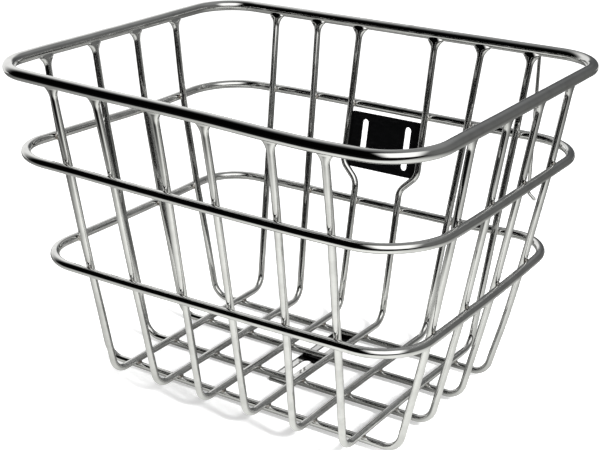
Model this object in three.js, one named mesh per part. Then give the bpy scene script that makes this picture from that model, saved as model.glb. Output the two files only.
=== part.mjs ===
// A bicycle's front basket of welded round wire, with a slotted plate behind and a slotted strap below.
// Millimetres. X runs across the basket, +Y to its back, +Z up, and Z = 0 is the strap's underside.
import * as THREE from 'three';

// Stock
const rimDiameter = 9;
const ringDiameter = 7;
const wireDiameter = 5.5;
const hookDiameter = 3;
const rearPlateThickness = 2.5;
const floorPlateThickness = 2;

// Gap left at every welded joint
const weldGap = 0.3;

// The rim, measured between its centre lines
const rimWidth = 393;
const rimDepth = 319;
const rimHeight = 274.5;

// The two rings that run round the outside of the uprights
const middleRingHeight = 202.5;
const lowerRingHeight = 114;

// The bends at the corners of the three hoops
const rimCorner = 40;
const middleRingCorner = 49;
const lowerRingCorner = 40;

// How far inside the rim the walls start and end, and how far the sides bow out on the way
const topInset = 2;
const depthInset = 52;
const sideInset = 50;
const sideBow = 3;

// Wires that run front to back: half of each row, from the middle outward
const frontRimSpots = [22.5, 80, 124.5];
const backRimSpots = [38.5, 84, 130.5];
const frontBackPitch = 45.8;
const frontBackBend = 15;

// Wires that run left to right
const leftRightCount = 4;
const leftRightRimPitch = 56.5;
const leftRightPitch = 52;
const leftRightBend = 16;

// The weld that spreads at the top of each upright
const flareHalfWidth = 7.5;
const flareHeight = 10;

// The plate behind, held by the two middle wires, which draw together below it
const rearPlateWidth = 76;
const rearPlateHeight = 51.5;
const rearPlateCorner = 3;
const rearPlateDrop = 4;
const rearSlotWidth = 6.5;
const rearSlotLength = 40;
const rearSlotPitch = 44.5;
const jogAbovePlateFoot = 4.5;
const jogBelowPlateFoot = 10.5;
const jogBend = 14;

// The strap below, under the last three wires that run left to right
const floorPlateWidth = 22;
const floorPlateOverhang = 4;
const floorPlateCorner = 3;
const floorSlotWidth = 8;
const floorSlotMargin = 6;
const floorPlateFirstWire = 1;

// The hook that hangs from the back of the rim
const hookAside = 4.5;
const hookDrop = 125;
const hookTipRun = 7;
const hookTipDrop = 6;
const hookBend = 5;

// Fineness of the solids
const rimSides = 12;
const wireSides = 10;
const hookSides = 8;
const bendStep = Math.PI / 16;
const flareSteps = 4;

// Radii and levels that follow
const rimRadius = rimDiameter / 2;
const ringRadius = ringDiameter / 2;
const wireRadius = wireDiameter / 2;
const hookRadius = hookDiameter / 2;
const leftRightLevel = floorPlateThickness + weldGap + wireRadius;
const frontBackLevel = leftRightLevel + wireDiameter + weldGap;
const uprightTop = rimHeight - rimRadius - weldGap;

const xAxis = new THREE.Vector3(1, 0, 0);
const yAxis = new THREE.Vector3(0, 1, 0);
const zAxis = new THREE.Vector3(0, 0, 1);

const polished = new THREE.MeshStandardMaterial({ color: 0xd2d2d0, roughness: 0.12, metalness: 1 });
const blackPaint = new THREE.MeshStandardMaterial({ color: 0x0c0c0e, roughness: 0.45, metalness: 0 });

const basket = new THREE.Group();
basket.name = 'bicycle_basket';

function addPiece(name, geometry, material) {
  const piece = new THREE.Mesh(geometry, material.clone());
  piece.name = name;
  basket.add(piece);
  return piece;
}

// Walls: how far out each one stands at a height, on the uprights' centre lines

const endWall = {
  floor: rimDepth / 2 - depthInset,
  rim: rimDepth / 2 - topInset,
  bow: 0,
  level: frontBackLevel,
};
const sideWall = {
  floor: rimWidth / 2 - sideInset,
  rim: rimWidth / 2 - topInset,
  bow: sideBow,
  level: leftRightLevel,
};

function shareUp(wall, z) {
  return (z - wall.level) / (rimHeight - wall.level);
}

function wallAt(wall, z) {
  const share = shareUp(wall, z);
  return THREE.MathUtils.lerp(wall.floor, wall.rim, share) + 4 * wall.bow * share * (1 - share);
}

function wallTilt(wall, z) {
  const reach = 10;
  return Math.atan((wallAt(wall, z + reach) - wallAt(wall, z - reach)) / (2 * reach));
}

// Paths: a knot is a point and the radius of the bend there, and no radius leaves a plain corner

function knot(x, y, z, bend = 0) {
  return { at: new THREE.Vector3(x, y, z), bend };
}

function bendPath(knots, closed = false) {
  const path = [];
  knots.forEach(({ at, bend }, i) => {
    const before = closed ? knots.at(i - 1) : knots[i - 1];
    const after = closed ? knots[(i + 1) % knots.length] : knots[i + 1];
    if (!before || !after || bend === 0) {
      path.push(at.clone());
      return;
    }
    const arriving = at.clone().sub(before.at).normalize();
    const leaving = after.at.clone().sub(at).normalize();
    const turn = arriving.angleTo(leaving);
    const axis = arriving.clone().cross(leaving).normalize();
    const inward = axis.clone().cross(arriving);
    const start = at.clone().addScaledVector(arriving, -bend * Math.tan(turn / 2));
    const centre = start.clone().addScaledVector(inward, bend);
    const steps = Math.max(2, Math.ceil(turn / bendStep));
    for (let step = 0; step <= steps; step += 1) {
      const spoke = start.clone().sub(centre).applyAxisAngle(axis, turn * step / steps);
      path.push(centre.clone().add(spoke));
    }
  });
  return path;
}

// Sections: an ellipse at each station, given by its centre and its two half axes

function section(centre, direction, reference, acrossRadius, alongRadius) {
  const across = reference.clone().addScaledVector(direction, -reference.dot(direction)).normalize();
  const along = direction.clone().cross(across);
  return { centre, across: across.multiplyScalar(acrossRadius), along: along.multiplyScalar(alongRadius) };
}

function sections(path, reference, radius, closed = false) {
  const last = path.length - 1;
  return path.map((centre, i) => {
    const before = path[i - 1] ?? (closed ? path[last] : centre);
    const after = path[i + 1] ?? (closed ? path[0] : centre);
    return section(centre, after.clone().sub(before).normalize(), reference, radius, radius);
  });
}

function loft(stations, sides, closed = false) {
  const corners = [];
  const faces = [];
  stations.forEach(({ centre, across, along }) => {
    for (let side = 0; side < sides; side += 1) {
      const angle = 2 * Math.PI * (side + 0.5) / sides;
      const corner = centre.clone().addScaledVector(across, Math.cos(angle));
      corner.addScaledVector(along, Math.sin(angle));
      corners.push(corner.x, corner.y, corner.z);
    }
  });
  const spans = closed ? stations.length : stations.length - 1;
  for (let span = 0; span < spans; span += 1) {
    const near = span * sides;
    const far = ((span + 1) % stations.length) * sides;
    for (let side = 0; side < sides; side += 1) {
      const next = (side + 1) % sides;
      faces.push(near + side, near + next, far + next);
      faces.push(near + side, far + next, far + side);
    }
  }
  if (!closed) {
    const end = spans * sides;
    for (let side = 1; side < sides - 1; side += 1) {
      faces.push(0, side + 1, side);
      faces.push(end, end + side, end + side + 1);
    }
  }
  const solid = new THREE.BufferGeometry();
  solid.setAttribute('position', new THREE.Float32BufferAttribute(corners, 3));
  solid.setIndex(faces);
  solid.computeVertexNormals();
  return solid;
}

// Hoops: the rim and the two rings

function hoop(side, end, z, corner, radius, sides) {
  const path = bendPath([
    knot(-side, -end, z, corner),
    knot(side, -end, z, corner),
    knot(side, end, z, corner),
    knot(-side, end, z, corner),
  ], true);
  return loft(sections(path, zAxis, radius, true), sides, true);
}

function outsideRing(z, corner) {
  const reach = wireRadius + weldGap + ringRadius;
  const [side, end] = [sideWall, endWall].map((wall) => wallAt(wall, z) + reach / Math.cos(wallTilt(wall, z)));
  return hoop(side, end, z, corner, ringRadius, wireSides);
}

addPiece('top_rim', hoop(rimWidth / 2, rimDepth / 2, rimHeight, rimCorner, rimRadius, rimSides), polished);
addPiece('middle_ring', outsideRing(middleRingHeight, middleRingCorner), polished);
addPiece('lower_ring', outsideRing(lowerRingHeight, lowerRingCorner), polished);

// U-shaped wires, each end spreading into its weld under the rim

function flare(top, below, reference, goingUp) {
  const lean = below.clone().sub(top);
  lean.divideScalar(-lean.z);
  const direction = goingUp ? zAxis : zAxis.clone().negate();
  const stations = [];
  for (let step = 0; step <= flareSteps; step += 1) {
    const share = (step / flareSteps) ** 2;
    const spread = (flareHalfWidth - wireRadius) * (1 - share) ** 2;
    const centre = top.clone().addScaledVector(lean, flareHeight * share);
    stations.push(section(centre, direction, reference, wireRadius + spread, wireRadius));
  }
  return goingUp ? stations.reverse() : stations;
}

function uWire(knots, reference) {
  const path = bendPath(knots);
  const stations = sections(path, reference, wireRadius).slice(1, -1);
  const first = flare(path[0], path[1], reference, false);
  const last = flare(path.at(-1), path.at(-2), reference, true);
  return loft([...first, ...stations, ...last], wireSides);
}

const ringHeights = [middleRingHeight, lowerRingHeight];
const rearPlateTop = middleRingHeight - ringRadius - rearPlateDrop;
const rearTilt = wallTilt(endWall, rearPlateTop);
const rearPlateFoot = rearPlateTop - rearPlateHeight * Math.cos(rearTilt);
const jogTop = rearPlateFoot + jogAbovePlateFoot;
const jogFoot = rearPlateFoot - jogBelowPlateFoot;

// Front uprights and the outer back ones lean evenly from the floor to the rim
function leaning(floorX, rimX) {
  return (z) => ({ x: THREE.MathUtils.lerp(floorX, rimX, shareUp(endWall, z)), bend: 0 });
}

// The two middle back uprights stand apart at the plate and jog inward below it
function jogged(floorX, rimX) {
  return (z) => ({ x: z >= jogTop ? rimX : floorX, bend: z === jogTop || z === jogFoot ? jogBend : 0 });
}

function frontBackWire(row, hand) {
  const floorX = hand * frontBackPitch * (row + 0.5);
  const isMiddle = row === 0;
  const front = leaning(floorX, hand * frontRimSpots[row]);
  const back = (isMiddle ? jogged : leaning)(floorX, hand * backRimSpots[row]);
  const down = [uprightTop, ...ringHeights];
  const up = [...down, ...(isMiddle ? [jogTop, jogFoot] : [])].sort((low, high) => low - high);
  return uWire([
    ...down.map((z) => knot(front(z).x, -wallAt(endWall, z), z)),
    knot(floorX, -endWall.floor, frontBackLevel, frontBackBend),
    knot(floorX, endWall.floor, frontBackLevel, frontBackBend),
    ...up.map((z) => knot(back(z).x, wallAt(endWall, z), z, back(z).bend)),
  ], xAxis);
}

const handedRows = [[2, -1], [1, -1], [0, -1], [0, 1], [1, 1], [2, 1]];
handedRows.forEach(([row, hand], i) => {
  addPiece(`front_back_wire_${i + 1}`, frontBackWire(row, hand), polished);
});

const leftRightSpots = Array.from({ length: leftRightCount }, (_, i) => {
  const place = i - (leftRightCount - 1) / 2;
  return { floor: place * leftRightPitch, rim: place * leftRightRimPitch };
});

function leftRightWire({ floor, rim }) {
  const yAt = (z) => THREE.MathUtils.lerp(floor, rim, shareUp(sideWall, z));
  const down = [uprightTop, ...ringHeights];
  return uWire([
    ...down.map((z) => knot(-wallAt(sideWall, z), yAt(z), z)),
    knot(-sideWall.floor, floor, leftRightLevel, leftRightBend),
    knot(sideWall.floor, floor, leftRightLevel, leftRightBend),
    ...down.toReversed().map((z) => knot(wallAt(sideWall, z), yAt(z), z)),
  ], yAxis);
}

leftRightSpots.forEach((spots, i) => {
  addPiece(`left_right_wire_${i + 1}`, leftRightWire(spots), polished);
});

// Flat plates: a rounded rectangle with round-ended slots, centred on its own origin

function roundedRectangle(outline, width, height, corner) {
  const right = width / 2 - corner;
  const top = height / 2 - corner;
  outline.absarc(right, -top, corner, -Math.PI / 2, 0);
  outline.absarc(right, top, corner, 0, Math.PI / 2);
  outline.absarc(-right, top, corner, Math.PI / 2, Math.PI);
  outline.absarc(-right, -top, corner, Math.PI, 3 * Math.PI / 2);
  outline.closePath();
  return outline;
}

function slot(x, y, width, length) {
  const reach = (length - width) / 2;
  const hole = new THREE.Path();
  hole.absarc(x, y + reach, width / 2, 0, Math.PI);
  hole.absarc(x, y - reach, width / 2, Math.PI, 2 * Math.PI);
  hole.closePath();
  return hole;
}

function plate(outline, slots, thickness) {
  outline.holes.push(...slots);
  const solid = new THREE.ExtrudeGeometry(outline, { depth: thickness, bevelEnabled: false, curveSegments: 4 });
  return solid.translate(0, 0, -thickness / 2);
}

const rearOutline = roundedRectangle(new THREE.Shape(), rearPlateWidth, rearPlateHeight, rearPlateCorner);
const rearSlots = [-1, 1].map((hand) => slot(hand * rearSlotPitch / 2, 0, rearSlotWidth, rearSlotLength));
const rearPlate = addPiece('rear_plate', plate(rearOutline, rearSlots, rearPlateThickness), blackPaint);
const rearPlateMiddle = (rearPlateTop + rearPlateFoot) / 2;
const rearReach = wireRadius + weldGap + rearPlateThickness / 2;
rearPlate.position.set(0, wallAt(endWall, rearPlateMiddle), rearPlateMiddle);
rearPlate.position.y += rearReach * Math.cos(rearTilt);
rearPlate.position.z -= rearReach * Math.sin(rearTilt);
rearPlate.rotation.x = Math.PI / 2 - rearTilt;

const strapWires = leftRightSpots.slice(floorPlateFirstWire).map(({ floor }) => floor);
const strapFront = strapWires[0] - floorPlateOverhang;
const strapBack = strapWires.at(-1) + floorPlateOverhang;
const strapMiddle = (strapFront + strapBack) / 2;
const strapOutline = roundedRectangle(
  new THREE.Shape(), floorPlateWidth, strapBack - strapFront, floorPlateCorner,
);
const strapSlots = strapWires.slice(1).map((wireY, i) => {
  const middle = (wireY + strapWires[i]) / 2 - strapMiddle;
  return slot(0, middle, floorSlotWidth, wireY - strapWires[i] - 2 * floorSlotMargin);
});
const floorPlate = addPiece('floor_plate', plate(strapOutline, strapSlots, floorPlateThickness), polished);
floorPlate.position.set(0, strapMiddle, floorPlateThickness / 2);

// The hook hangs plumb behind the last back upright, level with the back of the rim

const hookX = backRimSpots.at(-1) + hookAside;
const hookY = rimDepth / 2 + rimRadius - hookRadius;
const hookPath = bendPath([
  knot(hookX, hookY, uprightTop),
  knot(hookX, hookY, uprightTop - hookDrop, hookBend),
  knot(hookX + hookTipRun, hookY, uprightTop - hookDrop - hookTipDrop),
]);
addPiece('hanging_hook', loft(sections(hookPath, yAxis, hookRadius), hookSides), polished);

export default basket;
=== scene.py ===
# Looks of the welded wire basket: polished round wire, weld metal, a black slotted plate and a slotted strap.
# Metres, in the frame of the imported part: X across the basket, +Y to its back, Z = 0 under the strap.
import bpy
from math import atan, cos, exp, pi, radians, sin, tan
from mathutils import Matrix, Vector


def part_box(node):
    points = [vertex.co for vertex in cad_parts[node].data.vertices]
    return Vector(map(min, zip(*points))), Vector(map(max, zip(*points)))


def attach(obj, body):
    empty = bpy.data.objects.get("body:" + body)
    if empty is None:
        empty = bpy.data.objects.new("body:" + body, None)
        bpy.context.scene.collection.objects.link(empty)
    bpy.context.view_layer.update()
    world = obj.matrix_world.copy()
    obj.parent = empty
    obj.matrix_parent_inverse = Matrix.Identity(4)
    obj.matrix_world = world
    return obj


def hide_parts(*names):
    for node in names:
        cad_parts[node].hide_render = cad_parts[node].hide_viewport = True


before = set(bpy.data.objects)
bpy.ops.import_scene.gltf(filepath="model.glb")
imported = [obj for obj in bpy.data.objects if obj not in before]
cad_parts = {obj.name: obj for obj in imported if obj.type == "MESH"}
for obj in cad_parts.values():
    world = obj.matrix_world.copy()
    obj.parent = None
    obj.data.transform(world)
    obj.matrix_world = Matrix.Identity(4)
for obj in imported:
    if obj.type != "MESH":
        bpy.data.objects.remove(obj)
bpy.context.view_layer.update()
scene = bpy.context.scene
print("frame loaded:", len(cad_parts), "nodes")


# Node trees, for shapes and for materials alike

def put(tree, kind, feeds=None, **settings):
    node = tree.nodes.new(kind)
    for name, value in settings.items():
        setattr(node, name, value)
    for key, value in (feeds or {}).items():
        if isinstance(value, bpy.types.NodeSocket):
            tree.links.new(value, node.inputs[key])
        else:
            node.inputs[key].default_value = value
    return node.outputs


def calc(tree, operation, *values):
    return put(tree, "ShaderNodeMath", dict(enumerate(values)), operation=operation)[0]


def vecCalc(tree, operation, *values):
    out = put(tree, "ShaderNodeVectorMath", dict(enumerate(values)), operation=operation)
    return out["Value"] if operation in ("DOT_PRODUCT", "DISTANCE", "LENGTH") else out["Vector"]


def ease(tree, value, near, far, atNear=0.0, atFar=1.0):
    feeds = {"Value": value, "From Min": near, "From Max": far, "To Min": atNear, "To Max": atFar}
    return put(tree, "ShaderNodeMapRange", feeds, interpolation_type="SMOOTHSTEP")["Result"]


def noise(tree, place, scale, detail=3.0):
    return put(tree, "ShaderNodeTexNoise", {"Vector": place, "Scale": scale, "Detail": detail})


def blend(tree, share, first, second):  # sockets 6, 7 and 2 are the node's colours
    return put(tree, "ShaderNodeMix", {0: share, 6: first, 7: second}, data_type="RGBA")[2]


def shapeTree(name, sockets):
    tree = bpy.data.node_groups.new(name, "GeometryNodeTree")
    tree.interface.new_socket("Geometry", in_out="INPUT", socket_type="NodeSocketGeometry")
    for label, kind in sockets.items():
        tree.interface.new_socket(label, in_out="INPUT", socket_type="NodeSocket" + kind)
    tree.interface.new_socket("Geometry", in_out="OUTPUT", socket_type="NodeSocketGeometry")
    return tree, tree.nodes.new("NodeGroupInput").outputs


def endTree(tree, geometry, finish):
    realized = put(tree, "GeometryNodeRealizeInstances", {"Geometry": geometry})[0]
    smooth = put(tree, "GeometryNodeSetShadeSmooth", {"Geometry": realized})[0]
    painted = put(tree, "GeometryNodeSetMaterial", {"Geometry": smooth, "Material": finish})[0]
    put(tree, "NodeGroupOutput", {"Geometry": painted})


# Runs a tree on a mesh and keeps the result as a plain mesh
def grow(name, mesh, tree, values):
    piece = bpy.data.objects.new(name, mesh)
    scene.collection.objects.link(piece)
    modifier = piece.modifiers.new("shape", "NODES")
    modifier.node_group = tree
    for item in tree.interface.items_tree:
        if item.in_out == "INPUT" and item.name in values:
            modifier[item.identifier] = values[item.name]
    depsgraph = bpy.context.evaluated_depsgraph_get()
    evaluated = piece.evaluated_get(depsgraph)
    plain = bpy.data.meshes.new_from_object(evaluated, preserve_all_data_layers=True, depsgraph=depsgraph)
    piece.modifiers.clear()
    piece.data = plain
    plain.name = name
    return piece


# Finishes: a band gives the noise levels between which one look turns into the other

def newFinish(name):
    finish = bpy.data.materials.new(name)
    finish.use_nodes = True
    tree = finish.node_tree
    return finish, tree, tree.nodes["Principled BSDF"].inputs


def attribute(tree, name):
    return put(tree, "ShaderNodeAttribute", attribute_name=name)


def objectPlace(tree, scale=(1, 1, 1)):
    place = put(tree, "ShaderNodeTexCoord")["Object"]
    return put(tree, "ShaderNodeMapping", {"Vector": place, "Scale": scale})["Vector"]


def roughen(tree, shader, level, look):
    rough = ease(tree, level, *look["roughBand"], look["smoothest"], look["roughest"])
    tree.links.new(rough, shader["Roughness"])


def dent(tree, shader, height, look):
    feeds = {"Height": height, "Strength": look["dent"], "Distance": look["dentDepth"]}
    tree.links.new(put(tree, "ShaderNodeBump", feeds)["Normal"], shader["Normal"])


polish = dict(
    bright=(0.79, 0.79, 0.78, 1), dull=(0.69, 0.69, 0.68, 1), clouds=70.0, cloudBand=(0.35, 0.7),
    straw=(0.52, 0.40, 0.27, 1), strawBand=(0.35, 0.6),
    smoothest=0.035, roughest=0.09, roughBand=(0.3, 0.75), heatRoughness=0.12,
    streaks=900.0, streakStretch=14.0, streakDetail=2.0, dent=0.02, dentDepth=0.00002,
)


def polishedFinish():
    finish, tree, shader = newFinish("polishedWire")
    around = attribute(tree, "wireAround")["Vector"]
    along = attribute(tree, "wireAlong")["Fac"]
    heat = attribute(tree, "heat")["Fac"]
    drawn = put(tree, "ShaderNodeTexNoise", {
        "Vector": around, "W": calc(tree, "MULTIPLY", along, polish["streakStretch"] / polish["streaks"]),
        "Scale": polish["streaks"], "Detail": polish["streakDetail"],
    }, noise_dimensions="4D")["Fac"]
    clouds = noise(tree, objectPlace(tree), polish["clouds"])["Fac"]
    metal = blend(tree, ease(tree, clouds, *polish["cloudBand"]), polish["bright"], polish["dull"])
    burntAndShade = calc(tree, "MULTIPLY", heat, ease(tree, clouds, *polish["strawBand"]))
    tree.links.new(blend(tree, burntAndShade, metal, polish["straw"]), shader["Base Color"])
    rough = ease(tree, drawn, *polish["roughBand"], polish["smoothest"], polish["roughest"])
    rougher = calc(tree, "ADD", rough, calc(tree, "MULTIPLY", heat, polish["heatRoughness"]))
    tree.links.new(rougher, shader["Roughness"])
    dent(tree, shader, drawn, polish)
    shader["Metallic"].default_value = 1.0
    return finish


weldLook = dict(
    pale=(0.62, 0.60, 0.57, 1), burntAndShade=(0.26, 0.22, 0.19, 1), clouds=260.0, cloudBand=(0.4, 0.65),
    ripples=1400.0, roughBand=(0.3, 0.7), smoothest=0.16, roughest=0.38, dent=0.3, dentDepth=0.0002,
)


def weldFinish():
    finish, tree, shader = newFinish("weldMetal")
    place = objectPlace(tree)
    grain = noise(tree, place, weldLook["ripples"])["Fac"]
    clouds = noise(tree, place, weldLook["clouds"])["Fac"]
    metal = blend(tree, ease(tree, clouds, *weldLook["cloudBand"]), weldLook["pale"], weldLook["burntAndShade"])
    tree.links.new(metal, shader["Base Color"])
    roughen(tree, shader, grain, weldLook)
    dent(tree, shader, grain, weldLook)
    shader["Metallic"].default_value = 1.0
    return finish


blackLook = dict(
    paint=(0.0012, 0.0012, 0.0014, 1), scuffed=(0.003, 0.003, 0.0034, 1), gloss=0.12,
    scuffs=3.0, scuffStretch=(40, 40, 260), scuffBand=(0.5, 0.75),
    roughBand=(0.3, 0.8), smoothest=0.34, roughest=0.5, peel=900.0, dent=0.15, dentDepth=0.0002,
)


def blackFinish():
    finish, tree, shader = newFinish("blackPaint")
    peel = noise(tree, objectPlace(tree), blackLook["peel"])["Fac"]
    scuffs = noise(tree, objectPlace(tree, blackLook["scuffStretch"]), blackLook["scuffs"])["Fac"]
    worn = ease(tree, scuffs, *blackLook["scuffBand"])
    paint = blend(tree, worn, blackLook["paint"], blackLook["scuffed"])
    tree.links.new(paint, shader["Base Color"])
    shader["Specular IOR Level"].default_value = blackLook["gloss"]
    roughen(tree, shader, scuffs, blackLook)
    dent(tree, shader, peel, blackLook)
    return finish


strapLook = dict(
    bright=(0.93, 0.93, 0.925, 1), dull=(0.82, 0.82, 0.815, 1), clouds=90.0, cloudBand=(0.35, 0.7),
    # On the strap the black colour is painted shade: bands painted at the two back wires stand for the wire's
    # dark reflection in the strap and the shade under it
    burntAndShade=(0.003, 0.003, 0.004, 1), wireShadePlaces=(0.0215, 0.0735), wireShadeReach=0.0050, wireShadeEdge=0.0006,
    ragged=0.003,
    brushed=1.0, brushStretch=(900, 25, 900), roughBand=(0.3, 0.75), smoothest=0.03, roughest=0.09,
    dent=0.06, dentDepth=0.0001,
)


def strapFinish():
    finish, tree, shader = newFinish("polishedStrap")
    brushed = noise(tree, objectPlace(tree, strapLook["brushStretch"]), strapLook["brushed"])["Fac"]
    clouds = noise(tree, objectPlace(tree), strapLook["clouds"])["Fac"]
    metal = blend(tree, ease(tree, clouds, *strapLook["cloudBand"]), strapLook["bright"], strapLook["dull"])
    # Painted shade: the strap turns black in a band at each of the two back wires, for the wire's dark
    # reflection and the shade under it
    ahead = put(tree, "ShaderNodeSeparateXYZ", {0: put(tree, "ShaderNodeTexCoord")["Object"]})["Y"]
    ragged = calc(tree, "MULTIPLY_ADD", clouds, strapLook["ragged"], -strapLook["ragged"] / 2)
    reach, edge = strapLook["wireShadeReach"], strapLook["wireShadeEdge"]
    black = 0.0
    for place in strapLook["wireShadePlaces"]:  # painted shade and dark reflection of the wire, in front of and under the two back wires
        off = calc(tree, "ABSOLUTE", calc(tree, "SUBTRACT", calc(tree, "ADD", ahead, ragged), place))
        black = calc(tree, "MAXIMUM", black, ease(tree, off, reach - edge, reach + edge, 1.0, 0.0))
    tree.links.new(blend(tree, black, metal, strapLook["burntAndShade"]), shader["Base Color"])
    roughen(tree, shader, brushed, strapLook)
    dent(tree, shader, brushed, strapLook)
    shader["Metallic"].default_value = 1.0
    return finish


polishedWire = polishedFinish()
weldMetal = weldFinish()
blackPaint = blackFinish()
polishedStrap = strapFinish()
print("finishes made")


# Wire, swept along a path: its ends can spread under the rim, and a hoop has a butt seam

wire = dict(diameter=0.0055, sides=20, waviness=0.0006, waves=9.0, spreadCurve=2.2)


def drawnWireTree():
    tree, given = shapeTree("drawnWire", {
        "Diameter": "Float", "Sides": "Int",
        "Spread": "Float", "Spread Start": "Float", "Spread Reach": "Float", "Spread Direction": "Vector",
        "Seam Place": "Vector", "Seam Swell": "Float", "Seam Reach": "Float", "Heat Reach": "Float",
        "Nose": "Float", "Waviness": "Float", "Finish": "Material",
    })
    curve = put(tree, "GeometryNodeMeshToCurve", {"Mesh": given["Geometry"]})[0]
    place = put(tree, "GeometryNodeInputPosition")[0]
    wave = noise(tree, place, wire["waves"], 1.0)["Color"]
    shove = vecCalc(tree, "MULTIPLY", vecCalc(tree, "SUBTRACT", wave, (0.5, 0.5, 0.5)), given["Waviness"])
    curve = put(tree, "GeometryNodeSetPosition", {"Geometry": curve, "Offset": shove})[0]
    along = put(tree, "GeometryNodeSplineParameter")["Length"]
    whole = put(tree, "GeometryNodeSplineLength")["Length"]
    fromEnd = calc(tree, "MINIMUM", along, calc(tree, "SUBTRACT", whole, along))
    fromSeam = vecCalc(tree, "DISTANCE", place, given["Seam Place"])
    keep = tree.nodes.new("GeometryNodeCaptureAttribute")
    tree.links.new(curve, keep.inputs["Geometry"])
    kept = {}
    for name, kind, value in (("spine", "VECTOR", place), ("along", "FLOAT", along),
                              ("fromEnd", "FLOAT", fromEnd), ("fromSeam", "FLOAT", fromSeam)):
        keep.capture_items.new(kind, name)
        tree.links.new(value, keep.inputs[name])
        kept[name] = keep.outputs[name]

    # Girth: a little swell at the seam, and a round nose on a free end, whose tip keeps a little girth
    seamShare = ease(tree, fromSeam, 0.0, given["Seam Reach"], 1.0, 0.0)
    swell = calc(tree, "MULTIPLY_ADD", seamShare, given["Seam Swell"], 1.0)
    pastTip = calc(tree, "ADD", fromEnd, 1e-6)
    noseShare = calc(tree, "DIVIDE", pastTip, calc(tree, "MAXIMUM", given["Nose"], 1e-7))
    inward = calc(tree, "SUBTRACT", 1.0, calc(tree, "MINIMUM", noseShare, 1.0))
    nose = calc(tree, "SQRT", calc(tree, "SUBTRACT", 1.002, calc(tree, "MULTIPLY", inward, inward)))
    girth = calc(tree, "MULTIPLY", swell, nose)
    radius = calc(tree, "MULTIPLY", given["Diameter"], 0.5)
    profile = put(tree, "GeometryNodeCurvePrimitiveCircle", {
        "Resolution": given["Sides"], "Radius": radius,
    })[0]
    swept = put(tree, "GeometryNodeCurveToMesh", {
        "Curve": keep.outputs["Geometry"], "Profile Curve": profile, "Scale": girth, "Fill Caps": True,
    })[0]

    # Ends: each side goes out along the rim, in a hollow curve
    past = calc(tree, "SUBTRACT", kept["fromEnd"], given["Spread Start"])
    used = put(tree, "ShaderNodeClamp", {"Value": calc(tree, "DIVIDE", past, given["Spread Reach"])})[0]
    share = calc(tree, "POWER", calc(tree, "SUBTRACT", 1.0, used), wire["spreadCurve"])
    away = vecCalc(tree, "SUBTRACT", place, kept["spine"])
    side = calc(tree, "DIVIDE", vecCalc(tree, "DOT_PRODUCT", away, given["Spread Direction"]), radius)
    step = calc(tree, "MULTIPLY", calc(tree, "MULTIPLY", side, share), given["Spread"])
    offset = put(tree, "ShaderNodeVectorMath", {
        0: given["Spread Direction"], "Scale": step,
    }, operation="SCALE")[0]
    spread = put(tree, "GeometryNodeSetPosition", {"Geometry": swept, "Offset": offset})[0]

    # What the finish reads
    endHeat = calc(tree, "MULTIPLY", ease(tree, kept["fromEnd"], 0.0, given["Heat Reach"], 1.0, 0.0),
                   calc(tree, "GREATER_THAN", given["Spread"], 0.0))
    seamHeat = ease(tree, kept["fromSeam"], 0.0, given["Heat Reach"], 1.0, 0.0)
    heat = calc(tree, "MAXIMUM", endHeat, seamHeat)
    stored = spread
    for name, kind, value in (("heat", "FLOAT", heat), ("wireAlong", "FLOAT", kept["along"]),
                              ("wireAround", "FLOAT_VECTOR", away)):
        stored = put(tree, "GeometryNodeStoreNamedAttribute", {
            "Geometry": stored, "Name": name, "Value": value,
        }, data_type=kind, domain="POINT")[0]
    endTree(tree, stored, given["Finish"])
    return tree


drawnWire = drawnWireTree()


def knot(x, y, z, bend=0.0):
    return Vector((x, y, z)), bend


# Points along the knots, with each bend as an arc and no gap longer than the step
def bentPath(knots, closed=False, step=0.003, turnStep=radians(5)):
    corners = []
    for i, (at, bend) in enumerate(knots):
        before = knots[i - 1][0] if i > 0 or closed else None
        after = knots[(i + 1) % len(knots)][0] if i + 1 < len(knots) or closed else None
        if before is None or after is None or bend == 0:
            corners.append(at)
            continue
        arriving = (at - before).normalized()
        leaving = (after - at).normalized()
        turn = arriving.angle(leaving)
        axis = arriving.cross(leaving).normalized()
        start = at - arriving * bend * tan(turn / 2)
        centre = start + axis.cross(arriving) * bend
        steps = max(2, round(turn / turnStep))
        for k in range(steps + 1):
            corners.append(centre + Matrix.Rotation(turn * k / steps, 3, axis) @ (start - centre))
    path = []
    for i, here in enumerate(corners):
        path.append(here)
        if i + 1 < len(corners) or closed:
            there = corners[(i + 1) % len(corners)]
            extra = int((there - here).length / step)
            path += [here.lerp(there, (k + 1) / (extra + 1)) for k in range(extra)]
    return path


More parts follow.
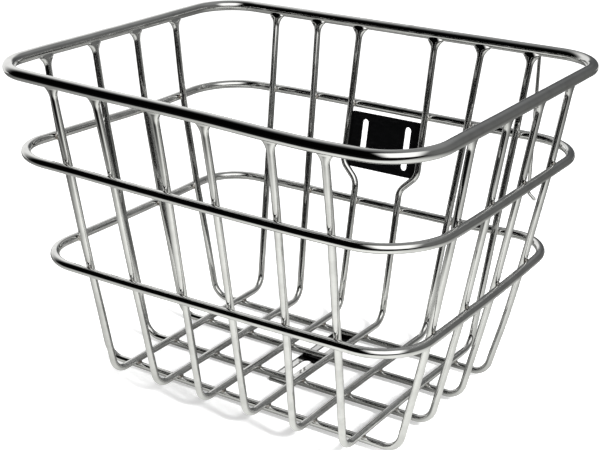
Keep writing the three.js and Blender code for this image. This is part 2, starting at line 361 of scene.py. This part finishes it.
# The basket is bent by hand, so each of these places lies a few millimetres off
askewSpots = dict(
    frontLeft=dict(place=(-0.165, -0.160, 0.260), reach=0.090, tall=0.110, shift=(0.0, 0.0022, 0.0015)),
    leftCorner=dict(place=(-0.190, -0.155, 0.2745), reach=0.045, tall=0.030, shift=(0.0046, 0.0025, 0.0)),
    frontRight=dict(place=(0.125, -0.160, 0.2745), reach=0.085, tall=0.040, shift=(0.0, -0.0018, -0.0032)),
    nearCorner=dict(place=(0.185, -0.125, 0.240), reach=0.055, tall=0.090, shift=(0.0, 0.0, 0.0020)),
    backRightUprights=dict(place=(0.085, 0.150, 0.240), reach=0.070, tall=0.120, shift=(0.0007, 0.0, 0.0)),
    backRightFoot=dict(place=(0.152, 0.078, 0.012), reach=0.030, tall=0.035, shift=(-0.0019, 0.0, 0.0)),
    middleRingFront=dict(place=(-0.120, -0.150, 0.2025), reach=0.090, tall=0.030, shift=(0.0, 0.0, 0.0012)),
    middleRingLeft=dict(place=(-0.190, 0.060, 0.2025), reach=0.100, tall=0.040, shift=(0.0, 0.0, -0.0038)),
    middleRingBack=dict(place=(0.080, 0.150, 0.2025), reach=0.130, tall=0.030, shift=(0.0, 0.0, -0.0013)),
    lowerRingFront=dict(place=(-0.100, -0.130, 0.114), reach=0.120, tall=0.035, shift=(0.0, 0.0, -0.0016)),
    lowerRingLeft=dict(place=(-0.175, 0.030, 0.114), reach=0.090, tall=0.035, shift=(0.0, 0.0, -0.0018)),
    lowerRingNear=dict(place=(0.160, -0.120, 0.114), reach=0.080, tall=0.035, shift=(0.0, 0.0, 0.0012)),
    lowerRingBack=dict(place=(0.165, 0.130, 0.114), reach=0.060, tall=0.035, shift=(0.0, 0.0, 0.0032)),
    firstLeftUpright=dict(place=(-0.190, -0.085, 0.230), reach=0.028, tall=0.120, shift=(0.0, -0.0042, 0.0)),
    lastLeftUprights=dict(place=(-0.190, 0.065, 0.200), reach=0.060, tall=0.120, shift=(0.0, -0.0030, 0.0)),
    rightOfFloor=dict(place=(0.150, -0.040, 0.010), reach=0.130, tall=0.060, shift=(-0.0012, 0.0, 0.0028)),
)


def askew(point):
    moved = point.copy()
    for spot in askewSpots.values():
        off = point - Vector(spot["place"])
        share = exp(-(off.xy.length / spot["reach"]) ** 2 - (off.z / spot["tall"]) ** 2)
        moved += Vector(spot["shift"]) * share
    return moved


def pathMesh(name, path, closed=False):
    mesh = bpy.data.meshes.new(name)
    edges = [(i, i + 1) for i in range(len(path) - 1)]
    if closed:
        edges.append((len(path) - 1, 0))
    mesh.from_pydata([askew(at) for at in path], edges, [])
    return mesh


# A plain round wire, its seam far out of reach, unless the changes say otherwise
def drawWire(name, path, diameter, sides, changes, closed=False):
    plain = {
        "Diameter": diameter, "Sides": sides, "Waviness": wire["waviness"], "Nose": 0.0, "Heat Reach": 0.008,
        "Spread": 0.0, "Spread Start": 0.0, "Spread Reach": 1.0, "Spread Direction": (1.0, 0.0, 0.0),
        "Seam Place": (0.0, 0.0, -9.0), "Seam Swell": 0.0, "Seam Reach": 0.001, "Finish": polishedWire,
    }
    return grow(name, pathMesh(name, path, closed), drawnWire, {**plain, **changes})


def settle(piece, node=None):
    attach(piece, "root")
    if node:
        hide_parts(node)
        low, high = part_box(node)
        spots = [v.co for v in piece.data.vertices]
        off = 0.0
        for k in range(3):
            off = max(off, abs(min(p[k] for p in spots) - low[k]), abs(max(p[k] for p in spots) - high[k]))
        report = "  {}: {} faces, box within {:.1f} mm of its node"
        print(report.format(piece.name, len(piece.data.polygons), off * 1000))
    return piece


# Walls, on the centre lines of the uprights

rim = dict(diameter=0.009, width=0.393, depth=0.319, height=0.2745, corner=0.040, sides=32)
rings = dict(
    middle=dict(diameter=0.007, height=0.2025, corner=0.049, sides=28),
    lower=dict(diameter=0.007, height=0.114, corner=0.040, sides=28),
)
floorStrap = dict(
    thickness=0.002, width=0.022, overhang=0.004, corner=0.003, bevel=0.0003,
    slotWidth=0.008, slotMargin=0.006,
)
weldGap = 0.0003
leftRightLevel = floorStrap["thickness"] + weldGap + wire["diameter"] / 2
frontBackLevel = leftRightLevel + wire["diameter"] + weldGap
inset = dict(top=0.002, endFloor=0.052, sideFloor=0.050)  # how far inside the rim's centre line
endWall = dict(
    floor=rim["depth"] / 2 - inset["endFloor"], rim=rim["depth"] / 2 - inset["top"],
    bow=0.0, level=frontBackLevel,
)
sideWall = dict(
    floor=rim["width"] / 2 - inset["sideFloor"], rim=rim["width"] / 2 - inset["top"],
    bow=0.003, level=leftRightLevel,
)
fuller = dict(hoop=0.0006, upright=0.0005)  # how much thicker than the solids the photograph shows them


def mix(a, b, share):
    return a + (b - a) * share


def shareUp(wall, z):
    return (z - wall["level"]) / (rim["height"] - wall["level"])


def wallAt(wall, z):
    share = shareUp(wall, z)
    return mix(wall["floor"], wall["rim"], share) + 4 * wall["bow"] * share * (1 - share)


def wallTilt(wall, z, reach=0.01):
    return atan((wallAt(wall, z + reach) - wallAt(wall, z - reach)) / (2 * reach))


# Rim and rings

seam = dict(swell=0.05, reach=0.004, heatReach=0.009)
seamX = dict(rim=0.012, middle=0.014, lower=0.006)  # each hoop is joined near the middle of its back


def ringReach(wall, ring):
    clear = (wire["diameter"] + ring["diameter"]) / 2 + weldGap
    return wallAt(wall, ring["height"]) + clear / cos(wallTilt(wall, ring["height"]))


def hoop(name, side, end, sizes, seamAt, node):
    z, bend = sizes["height"], sizes["corner"]
    corners = [(-side, -end), (side, -end), (side, end), (-side, end)]
    path = bentPath([knot(x, y, z, bend) for x, y in corners], closed=True)
    piece = drawWire(name, path, sizes["diameter"] + fuller["hoop"], sizes["sides"], {
        "Seam Place": (seamAt, end, z), "Seam Swell": seam["swell"], "Seam Reach": seam["reach"],
        "Heat Reach": seam["heatReach"],
    }, closed=True)
    return settle(piece, node)


hoop("topRim", rim["width"] / 2, rim["depth"] / 2, rim, seamX["rim"], "top_rim")
for level, ring in rings.items():
    side, end = ringReach(sideWall, ring), ringReach(endWall, ring)
    hoop(level + "Ring", side, end, ring, seamX[level], level + "_ring")
print("hoops made")


# U-shaped wires

flare = dict(halfWidth=0.0078, start=0.0042, reach=0.0095, heatReach=0.013)
frontBack = dict(
    frontSpots=(0.0225, 0.080, 0.1245), backSpots=(0.0385, 0.084, 0.1305), pitch=0.0458, bend=0.015,
)
leftRight = dict(count=4, rimPitch=0.0565, pitch=0.052, bend=0.016, rightLean=0.0050)
rearPlate = dict(
    width=0.076, height=0.0515, thickness=0.0025, corner=0.003, drop=0.004, lift=0.0012, bevel=0.0004,
    slotWidth=0.0065, slotLength=0.040, slotPitch=0.0445, jogAbove=0.0045, jogBelow=0.0105, jogBend=0.014,
)
intoRim = dict(belowCentre=0.001, towardCentre=0.7)  # each upright runs on into the rim, so no gap shows
uprightTop = rim["height"] - rim["diameter"] / 2
ringHeights = [rings["middle"]["height"], rings["lower"]["height"]]
heldHeights = [rim["height"] - intoRim["belowCentre"], uprightTop, *ringHeights]
plateTop = rings["middle"]["height"] - rings["middle"]["diameter"] / 2 - rearPlate["drop"]
rearTilt = wallTilt(endWall, plateTop)
plateFoot = plateTop - rearPlate["height"] * cos(rearTilt)
jogTop = plateFoot + rearPlate["jogAbove"]
jogFoot = plateFoot - rearPlate["jogBelow"]
handedRows = [(2, -1), (1, -1), (0, -1), (0, 1), (1, 1), (2, 1)]
leftRightPlaces = [i - (leftRight["count"] - 1) / 2 for i in range(leftRight["count"])]


def uWire(node, knots, sideways):
    name = node.title().replace("_", "")
    path = bentPath(knots, step=0.0016)
    piece = drawWire(name, path, wire["diameter"] + fuller["upright"], wire["sides"], {
        "Spread": flare["halfWidth"] - wire["diameter"] / 2, "Spread Start": flare["start"],
        "Spread Reach": flare["reach"], "Spread Direction": sideways, "Heat Reach": flare["heatReach"],
    })
    return settle(piece, node)


def inRim(wall, half, z):
    return mix(wallAt(wall, z), half, intoRim["towardCentre"]) if z > uprightTop else wallAt(wall, z)


def floorX(row, hand):
    return hand * frontBack["pitch"] * (row + 0.5)


def frontX(row, hand, z):
    return mix(floorX(row, hand), hand * frontBack["frontSpots"][row], shareUp(endWall, z))


# The middle two stand apart above their jog, where they hold the plate
def backX(row, hand, z):
    atFloor, atRim = floorX(row, hand), hand * frontBack["backSpots"][row]
    if row == 0:
        return atRim if z >= jogTop else atFloor
    return mix(atFloor, atRim, shareUp(endWall, z))


# The uprights on the right lean a little to the back
def sideY(place, hand, z):
    rimY = place * leftRight["rimPitch"] + (leftRight["rightLean"] if hand > 0 else 0.0)
    return mix(place * leftRight["pitch"], rimY, shareUp(sideWall, z))


def frontBackWire(row, hand, node):
    half = rim["depth"] / 2
    jogs = [jogTop, jogFoot] if row == 0 else []
    knots = [knot(frontX(row, hand, z), -inRim(endWall, half, z), z) for z in heldHeights]
    for y in (-endWall["floor"], endWall["floor"]):
        knots.append(knot(floorX(row, hand), y, frontBackLevel, frontBack["bend"]))
    for z in sorted(heldHeights + jogs):
        bend = rearPlate["jogBend"] if z in jogs else 0.0
        knots.append(knot(backX(row, hand, z), inRim(endWall, half, z), z, bend))
    return uWire(node, knots, (1.0, 0.0, 0.0))


def leftRightWire(place, node):
    half = rim["width"] / 2
    knots = [knot(-inRim(sideWall, half, z), sideY(place, -1, z), z) for z in heldHeights]
    for x in (-sideWall["floor"], sideWall["floor"]):
        knots.append(knot(x, place * leftRight["pitch"], leftRightLevel, leftRight["bend"]))
    knots += [knot(inRim(sideWall, half, z), sideY(place, 1, z), z) for z in reversed(heldHeights)]
    return uWire(node, knots, (0.0, 1.0, 0.0))


for i, (row, hand) in enumerate(handedRows):
    frontBackWire(row, hand, "front_back_wire_{}".format(i + 1))
for i, place in enumerate(leftRightPlaces):
    leftRightWire(place, "left_right_wire_{}".format(i + 1))
print("U-shaped wires made")


# Weld beads where wires cross

beads = dict(
    ring=(0.0034, 0.0030, 0.0016), floor=(0.0032, 0.0032, 0.0015), unevenness=0.0009, lumps=420.0, seed=7,
    smallest=(0.85, 0.85, 0.9), largest=(1.15, 1.15, 1.1), segments=14, rings=9,
)


def weldBeadTree():
    tree, given = shapeTree("weldBeads", {"Unevenness": "Float", "Seed": "Int", "Finish": "Material"})
    named = {}
    for name in ("facing", "running", "size"):
        read = put(tree, "GeometryNodeInputNamedAttribute", {"Name": name}, data_type="FLOAT_VECTOR")
        named[name] = read[0]
    blob = put(tree, "GeometryNodeMeshUVSphere", {
        "Segments": beads["segments"], "Rings": beads["rings"], "Radius": 1.0,
    })["Mesh"]
    turn = put(tree, "FunctionNodeAxesToRotation", {
        "Primary Axis": named["facing"], "Secondary Axis": named["running"],
    }, primary_axis="Z", secondary_axis="X")[0]
    chance = put(tree, "FunctionNodeRandomValue", {
        "Min": beads["smallest"], "Max": beads["largest"], "Seed": given["Seed"],
    }, data_type="FLOAT_VECTOR")[0]
    size = vecCalc(tree, "MULTIPLY", named["size"], chance)
    placed = put(tree, "GeometryNodeInstanceOnPoints", {
        "Points": given["Geometry"], "Instance": blob, "Rotation": turn, "Scale": size,
    })[0]
    real = put(tree, "GeometryNodeRealizeInstances", {"Geometry": placed})[0]
    place = put(tree, "GeometryNodeInputPosition")[0]
    lumps = noise(tree, place, beads["lumps"], 1.0)["Color"]
    shove = vecCalc(tree, "MULTIPLY", vecCalc(tree, "SUBTRACT", lumps, (0.5, 0.5, 0.5)), given["Unevenness"])
    uneven = put(tree, "GeometryNodeSetPosition", {"Geometry": real, "Offset": shove})[0]
    endTree(tree, uneven, given["Finish"])
    return tree


weldBeads = weldBeadTree()


def beadAt(at, facing, running, size):
    return Vector(at), Vector(facing), Vector(running), size


def beadPiece(name, spots, unevenness=beads["unevenness"], finish=weldMetal):
    mesh = bpy.data.meshes.new(name)
    mesh.from_pydata([askew(at) for at, *_ in spots], [], [])
    for k, label in enumerate(("facing", "running", "size"), start=1):
        layer = mesh.attributes.new(label, "FLOAT_VECTOR", "POINT")
        for item, spot in zip(layer.data, spots):
            item.vector = spot[k]
    piece = grow(name, mesh, weldBeads, {
        "Unevenness": unevenness, "Seed": beads["seed"], "Finish": finish,
    })
    return settle(piece)


def ringSpots(ring):
    z = ring["height"]
    shift = wire["diameter"] / 2 + weldGap / 2
    spots = []
    tilt = wallTilt(endWall, z)
    y = wallAt(endWall, z) + shift / cos(tilt)
    for row, hand in handedRows:
        for side, x in ((-1, frontX(row, hand, z)), (1, backX(row, hand, z))):
            facing = (0, side * cos(tilt), -sin(tilt))
            spots.append(beadAt((x, side * y, z), facing, (1, 0, 0), beads["ring"]))
    tilt = wallTilt(sideWall, z)
    x = wallAt(sideWall, z) + shift / cos(tilt)
    for place in leftRightPlaces:
        for side in (-1, 1):
            at = (side * x, sideY(place, side, z), z)
            facing = (side * cos(tilt), 0, -sin(tilt))
            spots.append(beadAt(at, facing, (0, 1, 0), beads["ring"]))
    return spots


def floorSpots():
    z = (leftRightLevel + frontBackLevel) / 2
    spots = []
    for row, hand in handedRows:
        for place in leftRightPlaces:
            at = (floorX(row, hand), place * leftRight["pitch"], z)
            spots.append(beadAt(at, (0, 0, 1), (1, 0, 0), beads["floor"]))
    return spots


for level, ring in rings.items():
    beadPiece(level + "RingWelds", ringSpots(ring))
beadPiece("floorWelds", floorSpots())

# Bright drops of weld metal, at the right of each crossing
drop = dict(
    aside=0.0044, size=(0.0011, 0.0010, 0.0006), facing=(0.50, -0.69, 0.53), unevenness=0.0002,
    beforeFloorWire=0.0019, aboveFloorWire=0.0022, insideRing=0.0031, aboveRing=0.0014,
)


def dropAt(x, y, z):
    return beadAt((x, y, z), drop["facing"], (1, 0, 0), drop["size"])


def dropSpots():
    spots = []
    z = leftRightLevel + drop["aboveFloorWire"]
    for row, hand in handedRows:
        x = floorX(row, hand) + drop["aside"]
        for place in leftRightPlaces:
            spots.append(dropAt(x, place * leftRight["pitch"] - drop["beforeFloorWire"], z))
    for ring in rings.values():
        z = ring["height"]
        up = z + drop["aboveRing"]
        y = ringReach(endWall, ring) - drop["insideRing"]
        for row, hand in handedRows:
            spots.append(dropAt(backX(row, hand, z) + drop["aside"], y, up))
        x = drop["insideRing"] - ringReach(sideWall, ring)
        for place in leftRightPlaces:
            spots.append(dropAt(x, sideY(place, -1, z) + drop["aside"], up))
    return spots


beadPiece("weldDrops", dropSpots(), drop["unevenness"], polishedWire)
print("weld beads made")


# Slotted plates: a flat curve with soft edges, made a mesh and then set in its place

plateEdge = dict(cornerSteps=8, slotSteps=16, bevelSteps=3, sharpAbove=40)


def arcPoints(x, y, radius, start, turn, steps):
    angles = [start + turn * k / steps for k in range(steps + 1)]
    return [(x + radius * cos(a), y + radius * sin(a)) for a in angles]


def plateOutline(width, height, corner):
    right = width / 2 - corner
    top = height / 2 - corner
    points = []
    for x, y, start in ((right, -top, -90), (right, top, 0), (-right, top, 90), (-right, -top, 180)):
        points += arcPoints(x, y, corner, radians(start), pi / 2, plateEdge["cornerSteps"])
    return points


def slotOutline(x, y, width, length):
    reach = (length - width) / 2
    steps = plateEdge["slotSteps"]
    upper = arcPoints(x, y + reach, width / 2, 0, pi, steps)
    return upper + arcPoints(x, y - reach, width / 2, pi, pi, steps)


def plate(name, outlines, sizes, place, finish):
    curve = bpy.data.curves.new(name, "CURVE")
    curve.dimensions = "2D"
    curve.fill_mode = "BOTH"
    curve.extrude = sizes["thickness"] / 2 - sizes["bevel"]
    curve.bevel_depth = sizes["bevel"]
    curve.bevel_resolution = plateEdge["bevelSteps"]
    curve.offset = -sizes["bevel"]
    for outline in outlines:
        spline = curve.splines.new("POLY")
        spline.points.add(len(outline) - 1)
        spline.use_cyclic_u = True
        for point, (x, y) in zip(spline.points, outline):
            point.co = (x, y, 0, 1)
    holder = bpy.data.objects.new(name + "Curve", curve)
    scene.collection.objects.link(holder)
    mesh = bpy.data.meshes.new_from_object(holder.evaluated_get(bpy.context.evaluated_depsgraph_get()))
    bpy.data.objects.remove(holder)
    mesh.transform(place)
    mesh.polygons.foreach_set("use_smooth", [True] * len(mesh.polygons))
    mesh.set_sharp_from_angle(angle=radians(plateEdge["sharpAbove"]))
    mesh.materials.clear()
    mesh.materials.append(finish)
    mesh.name = name
    piece = bpy.data.objects.new(name, mesh)
    scene.collection.objects.link(piece)
    return piece


def buildRearPlate():
    middle = (plateTop + plateFoot) / 2
    reach = wire["diameter"] / 2 + weldGap + rearPlate["thickness"] / 2
    y = wallAt(endWall, middle) + reach * cos(rearTilt)
    z = middle - reach * sin(rearTilt) + rearPlate["lift"]
    outlines = [plateOutline(rearPlate["width"], rearPlate["height"], rearPlate["corner"])]
    for hand in (-1, 1):
        x = hand * rearPlate["slotPitch"] / 2
        outlines.append(slotOutline(x, 0, rearPlate["slotWidth"], rearPlate["slotLength"]))
    place = Matrix.Translation((0, y, z)) @ Matrix.Rotation(pi / 2 - rearTilt, 4, "X")
    piece = plate("slottedRearPlate", outlines, rearPlate, place, blackPaint)
    settle(piece, "rear_plate")


def buildFloorStrap():
    wires = [place * leftRight["pitch"] for place in leftRightPlaces[1:]]
    middle = (wires[0] + wires[-1]) / 2
    length = wires[-1] - wires[0] + 2 * floorStrap["overhang"]
    outlines = [plateOutline(floorStrap["width"], length, floorStrap["corner"])]
    for a, b in zip(wires, wires[1:]):  # a slot between each two wires
        slotLength = b - a - 2 * floorStrap["slotMargin"]
        outlines.append(slotOutline(0, (a + b) / 2 - middle, floorStrap["slotWidth"], slotLength))
    place = Matrix.Translation((0, middle, floorStrap["thickness"] / 2))
    piece = plate("slottedFloorStrap", outlines, floorStrap, place, polishedStrap)
    settle(piece, "floor_plate")


buildRearPlate()
buildFloorStrap()
print("plates made")


# Hook that hangs from the back of the rim

hook = dict(diameter=0.003, aside=0.0045, drop=0.125, tipRun=0.007, tipDrop=0.006, bend=0.005, sides=16)


def buildHook():
    x = frontBack["backSpots"][-1] + hook["aside"]
    y = rim["depth"] / 2 + rim["diameter"] / 2 - hook["diameter"] / 2
    top = uprightTop - weldGap
    foot = top - hook["drop"]
    path = bentPath([
        knot(x, y, top), knot(x, y, foot, hook["bend"]), knot(x + hook["tipRun"], y, foot - hook["tipDrop"]),
    ], step=0.0004)
    piece = drawWire("hangingHook", path, hook["diameter"], hook["sides"], {
        "Nose": hook["diameter"] / 2, "Waviness": 0.0,
    })
    settle(piece, "hanging_hook")


buildHook()
print("hook made")


# Studio: a white background, a pale floor, one side lamp, and a room and a table that only the polish shows

studio = dict(
    floorColour=(0.82, 0.82, 0.82, 1), floorHalf=6.0, skyLight=0.43,
    glowNear=0.34, glowFar=0.74, footprint=(0.150, 0.115), nearReach=0.80, farReach=1.30,
)


def seenRays(tree):
    path = put(tree, "ShaderNodeLightPath")
    either = calc(tree, "MAXIMUM", path["Is Camera Ray"], path["Is Glossy Ray"])
    return calc(tree, "MAXIMUM", either, path["Is Transmission Ray"])


def emptyFinish(name):
    finish = bpy.data.materials.new(name)
    finish.use_nodes = True
    finish.node_tree.nodes.clear()
    return finish, finish.node_tree


def flatSquare(name, half, z):
    mesh = bpy.data.meshes.new(name)
    corners = [(-half, -half, z), (half, -half, z), (half, half, z), (-half, half, z)]
    mesh.from_pydata(corners, [], [(0, 1, 2, 3)])
    return mesh


def addPiece(name, mesh, finish):
    mesh.materials.append(finish)
    piece = bpy.data.objects.new(name, mesh)
    scene.collection.objects.link(piece)
    return piece


def direction(azimuth, elevation):  # azimuth from the front, turning to the right
    a, e = radians(azimuth), radians(elevation)
    return Vector((sin(a) * cos(e), -cos(a) * cos(e), sin(e)))


def buildWorld():
    world = bpy.data.worlds.new("studio")
    world.use_nodes = True
    scene.world = world
    tree = world.node_tree
    tree.nodes.clear()
    white = put(tree, "ShaderNodeBackground", {"Color": (1, 1, 1, 1), "Strength": 1.0})[0]
    soft = put(tree, "ShaderNodeBackground", {"Color": (1, 1, 1, 1), "Strength": studio["skyLight"]})[0]
    shown = put(tree, "ShaderNodeMixShader", {0: seenRays(tree), 1: soft, 2: white})[0]
    put(tree, "ShaderNodeOutputWorld", {"Surface": shown})


# The floor glows less under the basket, so that its shadow shows there
def buildFloor():
    finish, tree = emptyFinish("paleFloor")
    matte = put(tree, "ShaderNodeBsdfDiffuse", {"Color": studio["floorColour"]})[0]
    width, depth = studio["footprint"]
    fromBasket = vecCalc(tree, "LENGTH", objectPlace(tree, (1 / width, 1 / depth, 1)))
    reach = (studio["nearReach"], studio["farReach"])
    level = ease(tree, fromBasket, *reach, studio["glowNear"], studio["glowFar"])
    strength = calc(tree, "MULTIPLY", seenRays(tree), level)
    glow = put(tree, "ShaderNodeEmission", {"Color": (1, 1, 1, 1), "Strength": strength})[0]
    both = put(tree, "ShaderNodeAddShader", {0: matte, 1: glow})[0]
    put(tree, "ShaderNodeOutputMaterial", {"Surface": both})
    addPiece("floor", flatSquare("floor", studio["floorHalf"], 0), finish)


def glowFinish(name, build):
    finish, tree = emptyFinish(name)
    glow = put(tree, "ShaderNodeEmission", {"Color": build(tree), "Strength": 1.0})[0]
    put(tree, "ShaderNodeOutputMaterial", {"Surface": glow})
    return finish


def onlyInPolish(piece):
    piece.visible_camera = False
    piece.visible_diffuse = False
    piece.visible_shadow = False
    piece.visible_transmission = False


# The room is grey, with a bright window at the back left, black at the front left and low in front,
# and a soft box at the front right. From and Full are measured on the unit vector that points there
room = dict(
    radius=2.4, steps=48, levels=12,
    back=(0.099, 0.102, 0.105, 1), right=(0.156, 0.158, 0.154, 1), rightFrom=-0.1, rightFull=0.8,
    top=(0.266, 0.27, 0.27, 1), topLean=-0.3, topFrom=0.35, topFull=0.75,
    window=(0.95, 0.95, 0.94, 1), windowLean=0.3, windowFrom=0.42, windowFull=0.80,
    windowEnd=0.84, windowSoft=0.12,
    black=(0.001, 0.001, 0.001, 1), blackAzimuth=-25.0, blackElevation=22.0, blackFrom=0.18, blackFull=0.78,
    horizonFrom=0.08, horizonTo=0.32, aheadFrom=0.1, aheadFull=-0.35,
)
softBox = dict(
    azimuth=42.5, elevation=42.5, halfWidth=0.50, halfHeight=0.58, softWidth=0.5, softHeight=0.2,
    glow=(1.46, 1.46, 1.44, 1), behind=0.1, ahead=0.3, nearest=0.05,
)


# How far a way through the room lies within the soft box, with soft edges
def boxShare(tree, way):
    a, e = radians(softBox["azimuth"]), radians(softBox["elevation"])
    toward = vecCalc(tree, "DOT_PRODUCT", way, direction(softBox["azimuth"], softBox["elevation"]))
    depth = calc(tree, "MAXIMUM", toward, softBox["nearest"])
    share = ease(tree, toward, softBox["behind"], softBox["ahead"])
    across = (cos(a), sin(a), 0)
    upward = (-sin(a) * sin(e), cos(a) * sin(e), cos(e))
    for axis, half, soft in ((across, softBox["halfWidth"], softBox["softWidth"]),
                             (upward, softBox["halfHeight"], softBox["softHeight"])):
        off = calc(tree, "ABSOLUTE", calc(tree, "DIVIDE", vecCalc(tree, "DOT_PRODUCT", way, axis), depth))
        edge = ease(tree, off, half - soft / 2, half + soft / 2, 1.0, 0.0)
        share = calc(tree, "MULTIPLY", share, edge)
    return share


def roomColour(tree):
    way = vecCalc(tree, "NORMALIZE", put(tree, "ShaderNodeTexCoord")["Object"])
    parts = put(tree, "ShaderNodeSeparateXYZ", {0: way})
    toRight = ease(tree, parts["X"], room["rightFrom"], room["rightFull"])
    shown = blend(tree, toRight, room["back"], room["right"])
    upLeft = calc(tree, "MULTIPLY_ADD", parts["X"], room["topLean"], parts["Z"])
    shown = blend(tree, ease(tree, upLeft, room["topFrom"], room["topFull"]), shown, room["top"])
    leftward = calc(tree, "MULTIPLY", parts["X"], -1.0)
    backLeft = calc(tree, "MULTIPLY_ADD", parts["Y"], room["windowLean"], leftward)
    window = ease(tree, backLeft, room["windowFrom"], room["windowFull"])
    side = ease(tree, parts["Y"], room["windowEnd"] - room["windowSoft"], room["windowEnd"], 1.0, 0.0)
    shown = blend(tree, calc(tree, "MULTIPLY", window, side), shown, room["window"])
    facing = vecCalc(tree, "DOT_PRODUCT", way, direction(room["blackAzimuth"], room["blackElevation"]))
    shown = blend(tree, ease(tree, facing, room["blackFrom"], room["blackFull"]), shown, room["black"])
    shown = blend(tree, boxShare(tree, way), shown, softBox["glow"])
    ahead = ease(tree, parts["Y"], room["aheadFrom"], room["aheadFull"])
    level = ease(tree, parts["Z"], room["horizonFrom"], room["horizonTo"], 1.0, 0.0)
    return blend(tree, calc(tree, "MULTIPLY", ahead, level), shown, room["black"])


def buildRoom():
    steps, levels, radius = room["steps"], room["levels"], room["radius"]
    dome = []
    for level in range(levels):
        height = radians(90) * level / levels
        for k in range(steps):
            a = 2 * pi * k / steps
            dome.append((radius * cos(height) * cos(a), radius * cos(height) * sin(a), radius * sin(height)))
    dome.append((0, 0, radius))
    faces = []
    for level in range(levels - 1):
        for k in range(steps):
            a = level * steps + k
            b = level * steps + (k + 1) % steps
            faces.append((a, a + steps, b + steps, b))
    last = (levels - 1) * steps
    faces += [(last + k, len(dome) - 1, last + (k + 1) % steps) for k in range(steps)]
    mesh = bpy.data.meshes.new("room")
    mesh.from_pydata(dome, [], faces)
    onlyInPolish(addPiece("room", mesh, glowFinish("roomGlow", roomColour)))


# The table is grey, lit by the soft box, pale at the far back left, shaded under the basket
# and black beyond its front edge
table = dict(
    height=0.0004, far=(0.004, 0.004, 0.004, 1), near=(0.129, 0.130, 0.126, 1),
    frontEdge=-0.33, frontFade=0.20,
    lit=(1.07, 1.08, 1.04, 1), litPlace=(0.18, -0.28, 0.0), litReach=0.48,
    pale=(0.80, 0.80, 0.79, 1), paleFrom=1.00, paleFull=1.30,
    shade=0.78, shadeReach=(0.130, 0.088), shadeFade=0.025,
)


def tableColour(tree):
    place = put(tree, "ShaderNodeTexCoord")["Object"]
    parts = put(tree, "ShaderNodeSeparateXYZ", {0: place})
    onTable = ease(tree, parts["Y"], table["frontEdge"] - table["frontFade"], table["frontEdge"])
    fromLit = calc(tree, "DIVIDE", vecCalc(tree, "DISTANCE", place, table["litPlace"]), table["litReach"])
    pool = calc(tree, "EXPONENT", calc(tree, "MULTIPLY", calc(tree, "MULTIPLY", fromLit, fromLit), -1.0))
    backLeft = calc(tree, "SUBTRACT", parts["Y"], parts["X"])
    paleShare = ease(tree, backLeft, table["paleFrom"], table["paleFull"])
    lit = blend(tree, pool, blend(tree, paleShare, table["near"], table["pale"]), table["lit"])
    under = 1.0
    for axis, reach in zip("XY", table["shadeReach"]):
        off = calc(tree, "ABSOLUTE", parts[axis])
        inside = ease(tree, off, reach - table["shadeFade"], reach + table["shadeFade"], 1.0, 0.0)
        under = calc(tree, "MULTIPLY", under, inside)
    shaded = blend(tree, calc(tree, "MULTIPLY", under, table["shade"]), lit, table["far"])
    return blend(tree, onTable, table["far"], shaded)


def buildTable():
    mesh = flatSquare("table", room["radius"], table["height"])
    onlyInPolish(addPiece("table", mesh, glowFinish("tableGlow", tableColour)))


sideLamp = dict(azimuth=70.0, elevation=38.0, distance=1.7, size=(0.3, 0.3), power=42.0)


def buildLamp():
    light = bpy.data.lights.new("sideLamp", "AREA")
    light.shape = "RECTANGLE"
    light.size, light.size_y = sideLamp["size"]
    light.energy = sideLamp["power"]
    holder = bpy.data.objects.new("sideLamp", light)
    holder.location = direction(sideLamp["azimuth"], sideLamp["elevation"]) * sideLamp["distance"]
    holder.rotation_euler = (-holder.location).to_track_quat("-Z", "Y").to_euler()
    holder.visible_glossy = False  # the polish shows the room's soft box instead
    scene.collection.objects.link(holder)


# Camera at the photograph's view, for an image of 600 by 450
shot = dict(
    place=(0.5596, -0.8506, 0.5373), azimuth=33.27, elevation=21.47, roll=0.66,
    focalPixels=1303.1, imageWidth=600, sensorWidth=36.0, clipStart=0.01,
)


def buildCamera():
    data = bpy.data.cameras.new("camera")
    data.sensor_fit = "HORIZONTAL"
    data.sensor_width = shot["sensorWidth"]
    data.lens = shot["focalPixels"] / shot["imageWidth"] * data.sensor_width
    data.clip_start = shot["clipStart"]
    back = direction(shot["azimuth"], shot["elevation"])
    right = Vector((0, 0, 1)).cross(back).normalized()
    up = back.cross(right)
    roll = radians(shot["roll"])
    tiltedRight = right * cos(roll) + up * sin(roll)
    tiltedUp = up * cos(roll) - right * sin(roll)
    turned = Matrix((tiltedRight, tiltedUp, back)).transposed().to_4x4()
    holder = bpy.data.objects.new("camera", data)
    holder.matrix_world = Matrix.Translation(shot["place"]) @ turned
    scene.collection.objects.link(holder)
    scene.camera = holder


buildWorld()
buildFloor()
buildRoom()
buildTable()
buildLamp()
buildCamera()
scene.view_settings.view_transform = "Standard"
print("studio made")
